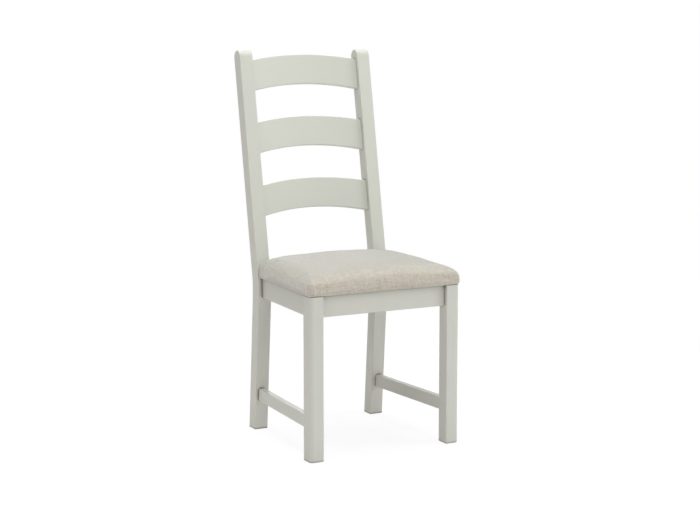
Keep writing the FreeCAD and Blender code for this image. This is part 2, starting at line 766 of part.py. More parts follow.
def make_block_screws():
    front_side_x = side_rail_inside(FRONT_SIDE_SCREW_Y)
    rear_side_x = side_rail_inside(REAR_SIDE_SCREW_Y)
    cover = "block_screw_cover"
    left = [
        screw(
            "front_cross_screw",
            in_chair(FRONT_CROSS_SCREW_X, f"front_inner_y + {cover}", "block_screw_z"),
            "y", "block_screw_length", False,
        ),
        screw(
            "front_side_screw",
            in_chair(f"{front_side_x} + {cover}", FRONT_SIDE_SCREW_Y, "block_screw_z"),
            "x", "block_screw_length", False,
        ),
        screw(
            "rear_cross_screw",
            in_chair(REAR_CROSS_SCREW_X, f"back_inner_y - {cover}", "block_screw_z"),
            "y", "block_screw_length", True,
        ),
        screw(
            "rear_side_screw",
            in_chair(f"{rear_side_x} + {cover}", REAR_SIDE_SCREW_Y, "block_screw_z"),
            "x", "block_screw_length", False,
        ),
    ]
    left_group = group("left_block_screws", left)
    return group("corner_block_screws", [left_group, mirrored(left_group, "right_block_screws")])


def make_seat_screws():
    left = [
        screw(f"seat_screw_{i}", in_chair(x, y, "block_bottom"), "z", "seat_screw_length", True)
        for i, (x, y) in enumerate(SEAT_SCREWS)
    ]
    left_group = group("left_seat_screws", left)
    return group("seat_screws", [left_group, mirrored(left_group, "right_seat_screws")])


def make_seat_screw_holes():
    left = [
        cylinder(
            f"seat_screw_hole_{i}",
            in_chair(x, y, "block_bottom"),
            "z", "screw_hole", "seat_screw_length + joint_end_room",
        )
        for i, (x, y) in enumerate(SEAT_SCREWS)
    ]
    left_group = group("left_seat_holes", left)
    return group("seat_holes", [left_group, mirrored(left_group, "right_seat_holes")])


def make_plate(name, inset, bottom, thickness):
    """A flat piece in the outline of the seat, some way inside its edge. The body's origin
    lies under the top of the crown, level with the top of the frame."""
    body = new_body(name)
    plan = flat_sketch(body, name + "_plan", "XY_Plane", bottom)
    front = f"seat_front_half - seat_slant * {inset} - {inset}"
    rear = f"seat_rear_half + seat_slant * {inset} - {inset}"
    outline(plan, (
        (f"-({front})", f"-(seat_front_y - {inset})"),
        (front, f"-(seat_front_y - {inset})"),
        (rear, f"seat_rear_y - {inset}"),
        (f"-({rear})", f"seat_rear_y - {inset}"),
    ))
    plate = pad(body, plan, thickness)
    for size, rounding, test in (
        ("front", f"seat_front_round - {inset}", lambda middle: middle.y < 0),
        ("rear", f"seat_rear_round - {inset}", lambda middle: middle.y > 0),
    ):
        if value(rounding) > 0:
            upright = edges_where(plate, lambda middle, along: abs(along.z) > 0.99 and (
                test(middle) and edge_is_sharp(middle, size, inset)))
            plate = soften(body, plate, upright, rounding)
    place(body, "0", "crown_y - mid_depth", "leg_height")
    return body, plate


def edge_is_sharp(middle, end, inset):
    """Whether an upright edge is still one of the corners of the straight outline."""
    y = f"-(seat_front_y - {inset})" if end == "front" else f"seat_rear_y - {inset}"
    return close(middle.y, value(y))


def make_form(name, inset):
    """The padded seat as one crowned solid, some way inside the outer face of its cover."""
    body, plate = make_plate(name, inset, inset, f"seat_height - 2 * {inset}")
    over = flat_sketch(body, name + "_crown", "XZ_Plane")
    radius = f"(crown_radius - {inset})"
    top = f"seat_height - {inset}"
    outline(over, (
        ("0", top, "-" + radius),
        ("crown_reach", f"{top} - {radius} + sqrt({radius} ^ 2 - crown_reach ^ 2)"),
        ("crown_reach", "2 * seat_height"),
        ("0", "2 * seat_height"),
    ))
    crown = body.newObject("PartDesign::Groove", name + "_crown_cut")
    crown.Profile = over
    crown.ReferenceAxis = (over, ["V_Axis"])
    crown.Angle = 360
    doc.recompute()
    if not crown.Shape.Volume < plate.Shape.Volume:
        raise ValueError(name + " has no crown")
    top_face = max(crown.Shape.Faces, key=lambda face: face.CenterOfMass.z)
    rim = [
        f"Edge{i}"
        for i, edge in enumerate(crown.Shape.Edges, start=1)
        if any(edge.isSame(other) for other in top_face.Edges)
    ]
    shoulder = soften(body, crown, rim, f"seat_shoulder - {inset}")
    floor = value(inset)
    foot = edges_where(shoulder, lambda middle, along: close(middle.z, floor))
    soften(body, shoulder, foot, f"seat_tuck - {inset}")
    return body


def cut(name, base, tool):
    result = doc.addObject("Part::Cut", name)
    result.Label = name
    result.Base = base
    result.Tool = tool
    return result


def make_seat(seat_holes):
    plain_board, _ = make_plate(
        "plain_board", "board_inset", "fabric_thickness", "board_thickness"
    )
    plain_dust_cover, _ = make_plate(
        "plain_dust_cover", "dust_cover_inset", "-dust_cover_thickness", "dust_cover_thickness"
    )
    opening, _ = make_plate("flap_opening", "flap_width", "-fabric_thickness", "3 * fabric_thickness")
    inner = make_form("foam_form", "fabric_thickness")
    outer = make_form("cover_form", "0")
    shell = cut("cover_shell", outer, inner)
    open_shell = cut("open_shell", shell, opening)
    return [
        cut("seat_board", plain_board, seat_holes),
        cut("seat_foam", inner, plain_board),
        cut("seat_cover", open_shell, seat_holes),
        cut("dust_cover", plain_dust_cover, seat_holes),
    ]


def make_staple(name, x, y, angle):
    """A staple's crown, centred on a point of the seat's outline plan and turned flat."""
    crown = doc.addObject("Part::Box", name)
    bind(crown, Length="staple_length", Width="staple_width", Height="staple_thickness")
    half, side = "staple_length / 2", "staple_width / 2"
    place(
        crown,
        f"{x} - {half} * cos({angle}) + {side} * sin({angle})",
        f"crown_y - mid_depth + {y} - {half} * sin({angle}) - {side} * cos({angle})",
        "dust_cover_bottom - staple_thickness",
        turn=(Vector(0, 0, 1), angle),
    )
    return crown


def make_staples():
    """Crowns along the edge of the dust cover; their legs are sunk in the board."""
    inset = "(dust_cover_inset + staple_inset)"
    front_y = f"(-seat_front_y + {inset})"
    rear_y = f"(seat_rear_y - {inset})"
    crowns = []
    for end, y in (("front", front_y), ("rear", rear_y)):
        half = f"(seat_front_half - seat_slant * ({y} + seat_front_y) - {inset})"
        steps = int(value(f"2 * {half} / staple_pitch"))
        for i in range(steps):
            x = f"{half} * {(2 * i + 1 - steps)} / {steps}"
            crowns.append(make_staple(f"{end}_staple_{i}", x, y, "0"))
    column = []
    steps = int(value(f"({rear_y} - {front_y}) / staple_pitch"))
    for i in range(steps):
        y = f"({front_y} + ({rear_y} - {front_y}) * {2 * i + 1} / {2 * steps})"
        x = f"(-seat_front_half + seat_slant * ({y} + seat_front_y) + {inset})"
        column.append(make_staple(f"side_staple_{i}", x, y, "seat_side_angle"))
    left = group("left_staples", column)
    return group("cover_staples", crowns + [left, mirrored(left, "right_staples")])


def check(piece):
    """Stops the run where an object didn't compute or gave a bad shape."""
    if {"Invalid", "Error"} & set(piece.State):
        raise ValueError(piece.Name + " failed: " + str(piece.State))
    shape = getattr(piece, "Shape", None)
    if shape is not None and piece.TypeId != "Sketcher::SketchObject":
        if not piece.isDerivedFrom("App::OriginFeature") and (shape.isNull() or not shape.isValid()):
            raise ValueError(piece.Name + " has no valid shape")


NODES = [
    *pair(make_front_leg()),
    *pair(make_rear_post()),
    make_slat("lower_slat", 0),
    make_slat("middle_slat", 1),
    make_slat("top_slat", 2),
    make_cross_rail(
        "front_seat_rail",
        "front_rail_half",
        "front_rail_setback",
        "back",
        f"half_front - ({FRONT_CROSS_SCREW_X})",
    ),
    make_cross_rail(
        "back_seat_rail",
        "back_rail_half",
        "(post_seat_y + back_rail_setback)",
        "front",
        f"half_front - ({REAR_CROSS_SCREW_X})",
    ),
    *pair(make_side_rail()),
    *pair(make_side_stretcher()),
    *make_corner_blocks(),
    make_block_screws(),
    make_seat_screws(),
    make_dowels(),
    *make_seat(make_seat_screw_holes()),
    make_staples(),
]

doc.recompute()
for thing in doc.Objects:
    check(thing)

os.makedirs("parts", exist_ok=True)
for node in NODES:
    if not node.Shape.Solids:
        raise ValueError(node.Label + " has no solid")
    node.Shape.exportStep(f"parts/{node.Label}.step")
    print(node.Label, len(node.Shape.Solids), round(node.Shape.Volume))
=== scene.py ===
import math

import bmesh
import bpy
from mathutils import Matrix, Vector


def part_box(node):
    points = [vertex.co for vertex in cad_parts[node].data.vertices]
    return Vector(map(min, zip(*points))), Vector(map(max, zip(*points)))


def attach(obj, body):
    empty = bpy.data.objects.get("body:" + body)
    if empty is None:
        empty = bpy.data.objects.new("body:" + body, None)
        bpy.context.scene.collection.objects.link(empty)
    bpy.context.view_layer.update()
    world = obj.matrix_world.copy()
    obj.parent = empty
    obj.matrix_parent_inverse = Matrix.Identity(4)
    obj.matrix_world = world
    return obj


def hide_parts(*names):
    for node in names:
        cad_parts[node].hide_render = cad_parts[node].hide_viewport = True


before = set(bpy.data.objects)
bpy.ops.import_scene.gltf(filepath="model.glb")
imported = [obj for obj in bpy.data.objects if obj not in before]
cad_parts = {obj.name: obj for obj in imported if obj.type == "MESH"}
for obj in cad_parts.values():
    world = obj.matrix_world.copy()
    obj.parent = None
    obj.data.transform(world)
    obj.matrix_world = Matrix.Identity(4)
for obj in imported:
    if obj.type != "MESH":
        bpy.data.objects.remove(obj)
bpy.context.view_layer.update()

# A painted ladderback chair with a padded seat, on a white floor, in metres.
# The frame's origin lies on the floor under the middle of the chair.

MM = 0.001

# The camera stands in front of the chair, to its left as seen here, and looks down a little.
# Its distances count from the middle of the chair's width and the front faces of the legs.
CAMERA_AZIMUTH = math.radians(-28.321)
CAMERA_ELEVATION = math.radians(7.285)
CAMERA_ACROSS = -2.0103
CAMERA_BEFORE = 3.5285
CAMERA_HEIGHT = 1.1180
CAMERA_SENSOR = 36.0
CAMERA_LENS = 81.252
CAMERA_SHIFT = -0.05

PAINTED_UPRIGHT = ("front_leg_left", "front_leg_right", "rear_post_left", "rear_post_right")
PAINTED_ACROSS = ("lower_slat", "middle_slat", "top_slat", "front_seat_rail", "back_seat_rail")
PAINTED_DEEP = ("side_stretcher_left", "side_stretcher_right")
SIDE_RAILS = ("side_seat_rail_left", "side_seat_rail_right")
PLAIN_WOOD = (
    "front_corner_block_left",
    "front_corner_block_right",
    "rear_corner_block_left",
    "rear_corner_block_right",
    "rail_dowels",
)
STEEL = ("corner_block_screws", "seat_screws", "cover_staples")


# Node helpers. A noise is given as its scale, detail and roughness, a bump as its depth and
# strength.

OPENNESS_SAMPLES = 8
NOISE_LOW, NOISE_HIGH = 0.3, 0.7


class Graph:
    """The node tree of a material or world, with short calls that return the socket to go on
    from."""

    def __init__(self, owner, output):
        owner.use_nodes = True
        self.owner = owner
        self.tree = owner.node_tree
        self.tree.nodes.clear()
        self.output = self.node(output)

    def node(self, kind, **settings):
        made = self.tree.nodes.new("ShaderNode" + kind)
        for name, value in settings.items():
            setattr(made, name, value)
        return made

    def feed(self, socket, source):
        if isinstance(source, bpy.types.NodeSocket):
            self.tree.links.new(source, socket)
        else:
            socket.default_value = source

    def math(self, operation, *sources):
        made = self.node("Math", operation=operation)
        for socket, source in zip(made.inputs, sources):
            self.feed(socket, source)
        return made.outputs[0]

    def object_point(self):
        return self.node("TexCoord").outputs["Object"]

    def split(self, vector):
        made = self.node("SeparateXYZ")
        self.feed(made.inputs[0], vector)
        return made.outputs

    def join(self, x, y, z):
        made = self.node("CombineXYZ")
        for socket, source in zip(made.inputs, (x, y, z)):
            self.feed(socket, source)
        return made.outputs[0]

    def scaled(self, vector, scale):
        made = self.node("VectorMath", operation="MULTIPLY")
        self.feed(made.inputs[0], vector)
        made.inputs[1].default_value = scale
        return made.outputs[0]

    def noise(self, vector, scale, detail=2.0, roughness=0.5):
        made = self.node("TexNoise")
        self.feed(made.inputs["Vector"], vector)
        made.inputs["Scale"].default_value = scale
        made.inputs["Detail"].default_value = detail
        made.inputs["Roughness"].default_value = roughness
        return made.outputs["Fac"]

    def between(self, source, low, high, to_low=0.0, to_high=1.0):
        made = self.node("MapRange")
        self.feed(made.inputs[0], source)
        for socket, number in zip(made.inputs[1:5], (low, high, to_low, to_high)):
            socket.default_value = number
        return made.outputs[0]

    def spread(self, noise, low, high):
        """Carries the range that most of a noise lies in over to another range."""
        return self.between(noise, NOISE_LOW, NOISE_HIGH, low, high)

    def blend(self, share, first, second, mode="MIX"):
        made = self.node("Mix", data_type="RGBA", blend_type=mode)
        self.feed(made.inputs[0], share)
        self.feed(made.inputs[6], first)
        self.feed(made.inputs[7], second)
        return made.outputs[2]

    def bump(self, height, distance, strength=1.0):
        made = self.node("Bump")
        self.feed(made.inputs["Height"], height)
        made.inputs["Distance"].default_value = distance
        made.inputs["Strength"].default_value = strength
        return made.outputs["Normal"]

    def openness(self, reach):
        """1 where the surface lies open, down to about 0.5 where it meets another at a corner."""
        made = self.node("AmbientOcclusion", samples=OPENNESS_SAMPLES)
        made.inputs["Distance"].default_value = reach
        return made.outputs["AO"]

    def surface(self, colour, roughness, normal=None, **sockets):
        """The principled shader; spaces in a socket's name are written as underscores."""
        shader = self.node("BsdfPrincipled")
        self.feed(shader.inputs["Base Color"], colour)
        self.feed(shader.inputs["Roughness"], roughness)
        if normal is not None:
            self.feed(shader.inputs["Normal"], normal)
        for name, value in sockets.items():
            shader.inputs[name.replace("_", " ")].default_value = value
        return self.finish(shader.outputs[0])

    def shader(self, kind, **sockets):
        made = self.node(kind)
        for name, value in sockets.items():
            made.inputs[name].default_value = value
        return made.outputs[0]

    def mixed(self, share, first, second):
        """One shader at 0 and another at 1."""
        made = self.node("MixShader")
        for socket, source in zip(made.inputs, (share, first, second)):
            self.feed(socket, source)
        return made.outputs[0]

    def finish(self, shader):
        """Makes this the shader of the material or world, and returns that."""
        self.tree.links.new(shader, self.output.inputs[0])
        return self.owner


def new_material(name):
    return Graph(bpy.data.materials.new(name), "OutputMaterial")


def rgb(red, green, blue):
    return (red, green, blue, 1.0)


# Materials

PAINT = rgb(0.600, 0.615, 0.545)
PAINT_THIN = rgb(0.560, 0.560, 0.495)
# Colour of the shade painted into joints, corners and under the seat's edge.
PAINTED_SHADE = rgb(0.250, 0.228, 0.200)
PAINT_ROUGHNESS = (0.44, 0.56)
PAINT_SPECULAR = 0.34
STROKES = (420.0, 3.0, 0.55)
GRAIN = (95.0, 4.0, 0.6)
GRAIN_LOW, GRAIN_HIGH = 0.35, 0.7
CLOUDS = (9.0, 2.0)
GRAIN_SHADE = 0.10
CLOUD_SHADE = 0.10
GRAIN_SHARE = 0.6
PAINT_BUMP = (0.12 * MM, 0.35)

# Painted shade: how far the shade painted into joints and corners reaches, and how open the paint
# is where that painted shade ends.
SHADE_REACH, SHADE_OPEN = 14.0 * MM, 0.72
# The side rails' painted shade reaches further: a painted shadow under the seat's overhang.
RAIL_SHADE_REACH, RAIL_SHADE_OPEN = 30.0 * MM, 0.90
# How open the paint is where its painted shade is darkest.
DARKEST_SHADE_OPEN = 0.50

# Factors on the coordinates that draw the grain out along a piece, by the way it runs.
UPWARD = (1.0, 1.0, 0.04)
ACROSS = (0.04, 1.0, 1.0)
DEEP = (1.0, 0.04, 1.0)


def make_paint(name, stretch, reach=SHADE_REACH, open_at=SHADE_OPEN):
    """Satin paint over closed grain, with shade painted darker into the joints and corners
    between pieces.
    """
    graph = new_material(name)
    point = graph.object_point()
    along = graph.scaled(point, stretch)
    strokes = graph.noise(along, *STROKES)
    grain = graph.noise(along, *GRAIN)
    clouds = graph.spread(graph.noise(point, *CLOUDS), 0.0, CLOUD_SHADE)
    worn = graph.between(grain, GRAIN_LOW, GRAIN_HIGH)
    shade = graph.math("MULTIPLY_ADD", worn, GRAIN_SHADE, clouds)
    colour = graph.blend(shade, PAINT, PAINT_THIN)
    # Painted shade: the paint turns towards the shade colour where other pieces close it in.
    clear = graph.between(graph.openness(reach), DARKEST_SHADE_OPEN, open_at)
    colour = graph.blend(clear, PAINTED_SHADE, colour)
    ridges = graph.math("MULTIPLY", strokes, 1 - GRAIN_SHARE)
    normal = graph.bump(graph.math("MULTIPLY_ADD", grain, GRAIN_SHARE, ridges), *PAINT_BUMP)
    roughness = graph.spread(strokes, *PAINT_ROUGHNESS)
    return graph.surface(colour, roughness, normal, Specular_IOR_Level=PAINT_SPECULAR)


WANDER = (18.0, 3.0)
RING_SCALE = 60.0
RING_DISTORTION = 7.0
RING_DETAIL = 3.0
RING_SHARE = 0.55
PORES = (700.0, 2.0)
PORE_LOW, PORE_HIGH = 0.58, 0.75
PORE_SHADE = 0.35
WOOD_ROUGHNESS = (0.55, 0.7)
WOOD_BUMP = (0.1 * MM, 0.4)


def make_wood(name, light, dark, stretch):
    """Bare wood with rings that wander along the piece."""
    graph = new_material(name)
    point = graph.scaled(graph.object_point(), stretch)
    wander = graph.noise(point, *WANDER)
    rings = graph.node("TexWave", wave_type="BANDS", bands_direction="DIAGONAL")
    graph.feed(rings.inputs["Vector"], point)
    rings.inputs["Scale"].default_value = RING_SCALE
    rings.inputs["Distortion"].default_value = RING_DISTORTION
    rings.inputs["Detail"].default_value = RING_DETAIL
    pores = graph.noise(point, *PORES)
    wander = graph.math("MULTIPLY", wander, 1 - RING_SHARE)
    share = graph.math("MULTIPLY_ADD", rings.outputs["Fac"], RING_SHARE, wander)
    colour = graph.blend(share, light, dark)
    colour = graph.blend(graph.between(pores, PORE_LOW, PORE_HIGH, 0.0, PORE_SHADE), colour, dark)
    normal = graph.bump(pores, *WOOD_BUMP)
    return graph.surface(colour, graph.spread(pores, *WOOD_ROUGHNESS), normal)


STEEL_DARK = rgb(0.55, 0.55, 0.56)
STEEL_LIGHT = rgb(0.70, 0.69, 0.66)
STEEL_ROUGHNESS = (0.3, 0.45)
MOTTLE = (900.0, 3.0)
STEEL_BUMP = (0.05 * MM, 0.3)


def make_plated_steel():
    """Zinc plating with a fine mottle."""
    graph = new_material("zinc_plated_steel")
    mottle = graph.noise(graph.object_point(), *MOTTLE)
    colour = graph.blend(mottle, STEEL_DARK, STEEL_LIGHT)
    roughness = graph.spread(mottle, *STEEL_ROUGHNESS)
    return graph.surface(colour, roughness, graph.bump(mottle, *STEEL_BUMP), Metallic=1.0)


DUST_DARK = rgb(0.018, 0.018, 0.02)
DUST_LIGHT = rgb(0.06, 0.06, 0.065)
DUST_ROUGHNESS = 0.9
FIBRES = (1500.0, 4.0, 0.7)
FIBRE_DRAW = (1.0, 0.3, 1.0)
DOT_SCALE = 600.0
DUST_BUMP = (0.1 * MM, 0.5)


def make_dust_cloth():
    """Thin black pressed cloth: short fibres from front to back, and fine embossed dots."""
    graph = new_material("dust_cloth")
    point = graph.object_point()
    fibres = graph.noise(graph.scaled(point, FIBRE_DRAW), *FIBRES)
    dots = graph.node("TexVoronoi", feature="F1")
    graph.feed(dots.inputs["Vector"], point)
    dots.inputs["Scale"].default_value = DOT_SCALE
    colour = graph.blend(fibres, DUST_DARK, DUST_LIGHT)
    normal = graph.bump(dots.outputs["Distance"], *DUST_BUMP)
    return graph.surface(colour, DUST_ROUGHNESS, normal)


THREAD_PITCH = 1.3 * MM
SLUB_ACROSS = 330.0
SLUB_ALONG = 60.0
SLUBS = (1.0, 3.0, 0.6)
THREAD_SHARE = 0.12
SLUB_SHARE = 0.88


def thread_layer(graph, across, along, third):
    """One set of threads. across counts over the threads and along runs with them: gives
    their rounded height, the brightness of each with its slubs, and its number."""
    turns = graph.math("DIVIDE", across, THREAD_PITCH)
    number = graph.math("FLOOR", turns)
    ridge = graph.math("ABSOLUTE", graph.math("SINE", graph.math("MULTIPLY", turns, math.pi)))
    own = graph.node("TexWhiteNoise", noise_dimensions="1D")
    graph.feed(own.inputs["W"], number)
    slub_at = graph.join(
        graph.math("MULTIPLY", across, SLUB_ACROSS),
        graph.math("MULTIPLY", along, SLUB_ALONG),
        graph.math("MULTIPLY", third, SLUB_ALONG),
    )
    slubs = graph.noise(slub_at, *SLUBS)
    lumps = graph.math("MULTIPLY", slubs, SLUB_SHARE)
    tone = graph.math("MULTIPLY_ADD", own.outputs["Value"], THREAD_SHARE, lumps)
    return ridge, tone, number


def weave_on(graph, u, v, w):
    """Plain weave over u and v: height and brightness. w only moves the slubs."""
    ridge_u, tone_u, number_u = thread_layer(graph, u, v, w)
    ridge_v, tone_v, number_v = thread_layer(graph, v, u, w)
    over = graph.math("PINGPONG", graph.math("ADD", number_u, number_v), 1.0)
    height = graph.node("Mix", data_type="FLOAT")
    tone = graph.node("Mix", data_type="FLOAT")
    for mix, first, second in ((height, ridge_u, ridge_v), (tone, tone_u, tone_v)):
        graph.feed(mix.inputs[0], over)
        graph.feed(mix.inputs[2], first)
        graph.feed(mix.inputs[3], second)
    return height.outputs[0], tone.outputs[0]


FLAX = rgb(0.400, 0.350, 0.275)
OATMEAL = rgb(0.475, 0.434, 0.360)
BLEACHED = rgb(0.615, 0.580, 0.500)
ROSE = rgb(1.0, 0.985, 0.970)
LIGHT_FROM, LIGHT_FULL = 0.38, 0.62
FLAX_FROM, FLAX_FULL = 0.45, 0.28
PATCHES = (16.0, 2.0)
PATCH_FROM, PATCH_FULL = 0.45, 0.62
FUZZ = (2200.0, 2.0)
FUZZ_SHARE = 0.25
WEAVE_BUMP = (0.35 * MM, 0.6)
SIDE_SHARPNESS = 4.0
CLOTH_ROUGHNESS = 0.92
CLOTH_SPECULAR = 0.2
SHEEN = 0.90
SHEEN_ROUGHNESS = 0.40
SHEEN_TINT = rgb(0.90, 1.0, 1.0)


def make_seat_fabric():
    """Woven oatmeal cloth. The threads follow the chair's axes on each side of the seat."""
    graph = new_material("seat_fabric")
    point = graph.object_point()
    x, y, z = graph.split(point)
    normal = graph.split(graph.node("TexCoord").outputs["Normal"])
    sizes = [graph.math("POWER", graph.math("ABSOLUTE", side), SIDE_SHARPNESS) for side in normal]
    total = graph.math("ADD", graph.math("ADD", sizes[0], sizes[1]), sizes[2])
    looks = (weave_on(graph, y, z, x), weave_on(graph, x, z, y), weave_on(graph, x, y, z))
    height = tone = 0.0
    for share, (look_height, look_tone) in zip(sizes, looks):
        share = graph.math("DIVIDE", share, total)
        height = graph.math("MULTIPLY_ADD", share, look_height, height)
        tone = graph.math("MULTIPLY_ADD", share, look_tone, tone)
    light = graph.blend(graph.between(tone, LIGHT_FROM, LIGHT_FULL), OATMEAL, BLEACHED)
    colour = graph.blend(graph.between(tone, FLAX_FROM, FLAX_FULL), light, FLAX)
    patches = graph.between(graph.noise(point, *PATCHES), PATCH_FROM, PATCH_FULL)
    colour = graph.blend(patches, colour, ROSE, "MULTIPLY")
    lift = graph.math("MULTIPLY_ADD", graph.noise(point, *FUZZ), FUZZ_SHARE, height)
    return graph.surface(
        colour,
        CLOTH_ROUGHNESS,
        graph.bump(lift, *WEAVE_BUMP),
        Sheen_Weight=SHEEN,
        Sheen_Roughness=SHEEN_ROUGHNESS,
        Sheen_Tint=SHEEN_TINT,
        Specular_IOR_Level=CLOTH_SPECULAR,
    )


HARDWOOD = (rgb(0.62, 0.45, 0.28), rgb(0.42, 0.27, 0.15))
PLYWOOD = (rgb(0.66, 0.52, 0.36), rgb(0.50, 0.37, 0.23))
BLOCK_GRAIN = (1.0, 0.2, 1.0)
BOARD_GRAIN = (1.0, 0.1, 4.0)


def dress(nodes, material):
    """Gives the solids of these nodes a material."""
    for node in nodes:
        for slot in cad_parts[node].material_slots:
            slot.material = material


dress(PAINTED_UPRIGHT, make_paint("paint_upright", UPWARD))
dress(PAINTED_ACROSS, make_paint("paint_across", ACROSS))
dress(PAINTED_DEEP, make_paint("paint_deep", DEEP))
dress(SIDE_RAILS, make_paint("paint_side_rails", DEEP, RAIL_SHADE_REACH, RAIL_SHADE_OPEN))
dress(PLAIN_WOOD, make_wood("plain_wood", *HARDWOOD, BLOCK_GRAIN))
dress(("seat_board",), make_wood("plywood", *PLYWOOD, BOARD_GRAIN))
dress(("dust_cover",), make_dust_cloth())
dress(STEEL, make_plated_steel())


# The padded seat

SEAT_LOW, SEAT_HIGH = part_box("seat_cover")
LEG_LOW, LEG_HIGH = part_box("front_leg_left")
POST_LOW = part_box("rear_post_left")[0]
SEAT_TAPER = (POST_LOW.x - LEG_LOW.x) / (SEAT_HIGH.y - LEG_HIGH.y)
OVERHANG = 4.5 * MM
CROWN_RADIUS = 1.85
CROWN_Y = LEG_LOW.y + 228 * MM
SHOULDER = 24 * MM
TUCK = 4 * MM
FRONT_CORNER = 12 * MM
REAR_CORNER = 6 * MM
CORNER_SHARE = 0.45
CORNER_SPREAD = 70 * MM
TOP_ROOM = 1.5 * MM
CORNER_STEPS = 6
EDGE_STEPS = 14
SHOULDER_STEPS = 8
TUCK_STEPS = 3
PULL_IN = 1.5 * MM
PULL_DEPTH = 40 * MM
VOXEL = 4.5 * MM
SWELL_LIMIT = 4.5 * MM
FLAT_BAND = 2.5 * MM
FOLD_FROM_REAR = 36 * MM
FOLD_WIDTH = 3.5 * MM
FOLD_DEPTH = 1.6 * MM
SMOOTH_STEPS = 6
FRAMES = 20
CLOTH_QUALITY = 6
PRESSURE = 4.0
STRETCH_STIFFNESS = 25.0
BEND_STIFFNESS = 2.0
QUARTER_TURN = math.radians(90.0)


def half_width(y):
    """Half the seat's width at a place along its depth."""
    return OVERHANG - LEG_LOW.x - SEAT_TAPER * (y - LEG_HIGH.y)


def crown_height(x, y):
    """Height of the cushion's top, which is part of a large ball."""
    across = x * x + (y - CROWN_Y) ** 2
    return SEAT_HIGH.z - TOP_ROOM - CROWN_RADIUS + math.sqrt(CROWN_RADIUS ** 2 - across)


def shoulder_share(x, y):
    """1 along the sides, and less at the front corners, where the shoulder is tighter."""
    away = math.hypot(half_width(SEAT_LOW.y) - abs(x), y - SEAT_LOW.y)
    return 1 - (1 - CORNER_SHARE) * max(0.0, 1 - away / CORNER_SPREAD)


def seat_outline(inset):
    """Points round the seat as seen from above, some way inside its edge."""
    low, high = SEAT_LOW.y + inset, SEAT_HIGH.y - inset
    for side in (-1, 1):
        for end, edge, radius in ((-1, low, FRONT_CORNER), (1, high, REAR_CORNER)):
            y_mid = edge - end * radius
            x_mid = half_width(y_mid) - inset - radius
            for step in range(CORNER_STEPS + 1):
                turn = QUARTER_TURN * step / CORNER_STEPS
                x = side * (x_mid + radius * math.cos(turn))
                yield x, y_mid + end * radius * math.sin(turn)
        for step in range(1, EDGE_STEPS):
            share = step / EDGE_STEPS
            y = (low + FRONT_CORNER) * (1 - share) + (high - REAR_CORNER) * share
            yield side * (half_width(y) - inset), y
            reach = half_width(high) - inset - REAR_CORNER
            yield side * share * reach, low
            yield side * share * reach, high


def pad_points():
    """The start form's points: tuck, side, shoulder and crown."""
    for step in range(TUCK_STEPS):
        turn = QUARTER_TURN * step / TUCK_STEPS
        inset = TUCK * (1 - math.sin(turn))
        for x, y in seat_outline(inset):
            yield x, y, SEAT_LOW.z + TUCK * (1 - math.cos(turn))
    outer = list(seat_outline(0.0))
    inner = list(seat_outline(SHOULDER))
    for (x_out, y_out), (x_in, y_in) in zip(outer, inner):
        share = shoulder_share(x_out, y_out)
        for step in range(SHOULDER_STEPS + 1):
            turn = QUARTER_TURN * step / SHOULDER_STEPS
            inward = share * (1 - math.cos(turn))
            x = x_out + (x_in - x_out) * inward
            y = y_out + (y_in - y_out) * inward
            yield x, y, crown_height(x, y) - share * SHOULDER * (1 - math.sin(turn))
    for column in range(-EDGE_STEPS, EDGE_STEPS + 1):
        for row in range(1, EDGE_STEPS):
            y = SEAT_LOW.y + (SEAT_HIGH.y - SEAT_LOW.y) * row / EDGE_STEPS
            x = (half_width(y) - SHOULDER) * column / EDGE_STEPS
            if SEAT_LOW.y + SHOULDER < y < SEAT_HIGH.y - SHOULDER:
                yield x, y, crown_height(x, y)


def new_object(name, data):
    """Adds an object to the scene."""
    made = bpy.data.objects.new(name, data)
    bpy.context.scene.collection.objects.link(made)
    return made


def applied(thing):
    """Turns the object's modifiers into its own mesh."""
    bpy.context.view_layer.update()
    evaluated = thing.evaluated_get(bpy.context.evaluated_depsgraph_get())
    mesh = bpy.data.meshes.new_from_object(evaluated)
    thing.modifiers.clear()
    thing.data = mesh


def pad_start():
    """The seat's outline and crown as one closed form, its top a little under the cover's."""
    form = bmesh.new()
    for point in pad_points():
        form.verts.new(point)
    hull = bmesh.ops.convex_hull(form, input=form.verts)
    unused = hull["geom_interior"] + hull["geom_unused"]
    spare = {v for v in unused if isinstance(v, bmesh.types.BMVert)}
    bmesh.ops.delete(form, geom=list(spare), context="VERTS")
    mesh = bpy.data.meshes.new("seat_pad")
    form.to_mesh(mesh)
    form.free()
    pad = new_object("seat_pad", mesh)
    remesh = pad.modifiers.new("remesh", "REMESH")
    remesh.mode = "VOXEL"
    remesh.voxel_size = VOXEL
    applied(pad)
    return pad


def inflate(pad):
    """Blows the cloth up a little against its own tension; the flat underside stays put."""
    floor = min(v.co.z for v in pad.data.vertices)
    held = pad.vertex_groups.new(name="held")
    held.add([v.index for v in pad.data.vertices if v.co.z < floor + FLAT_BAND], 1.0, "REPLACE")
    before = [v.co.copy() for v in pad.data.vertices]
    cloth = pad.modifiers.new("cloth", "CLOTH")
    settings = cloth.settings
    settings.quality = CLOTH_QUALITY
    settings.use_pressure = True
    settings.uniform_pressure_force = PRESSURE
    settings.effector_weights.gravity = 0.0
    settings.tension_stiffness = STRETCH_STIFFNESS
    settings.compression_stiffness = STRETCH_STIFFNESS
    settings.bending_stiffness = BEND_STIFFNESS
    settings.vertex_group_mass = "held"
    cloth.point_cache.frame_start = 1
    cloth.point_cache.frame_end = FRAMES
    for number in range(1, FRAMES + 1):
        bpy.context.scene.frame_set(number)
    applied(pad)
    bpy.context.scene.frame_set(1)
    for vertex, start in zip(pad.data.vertices, before):
        move = vertex.co - start
        if move.length > SWELL_LIMIT:
            vertex.co = start + move * (SWELL_LIMIT / move.length)


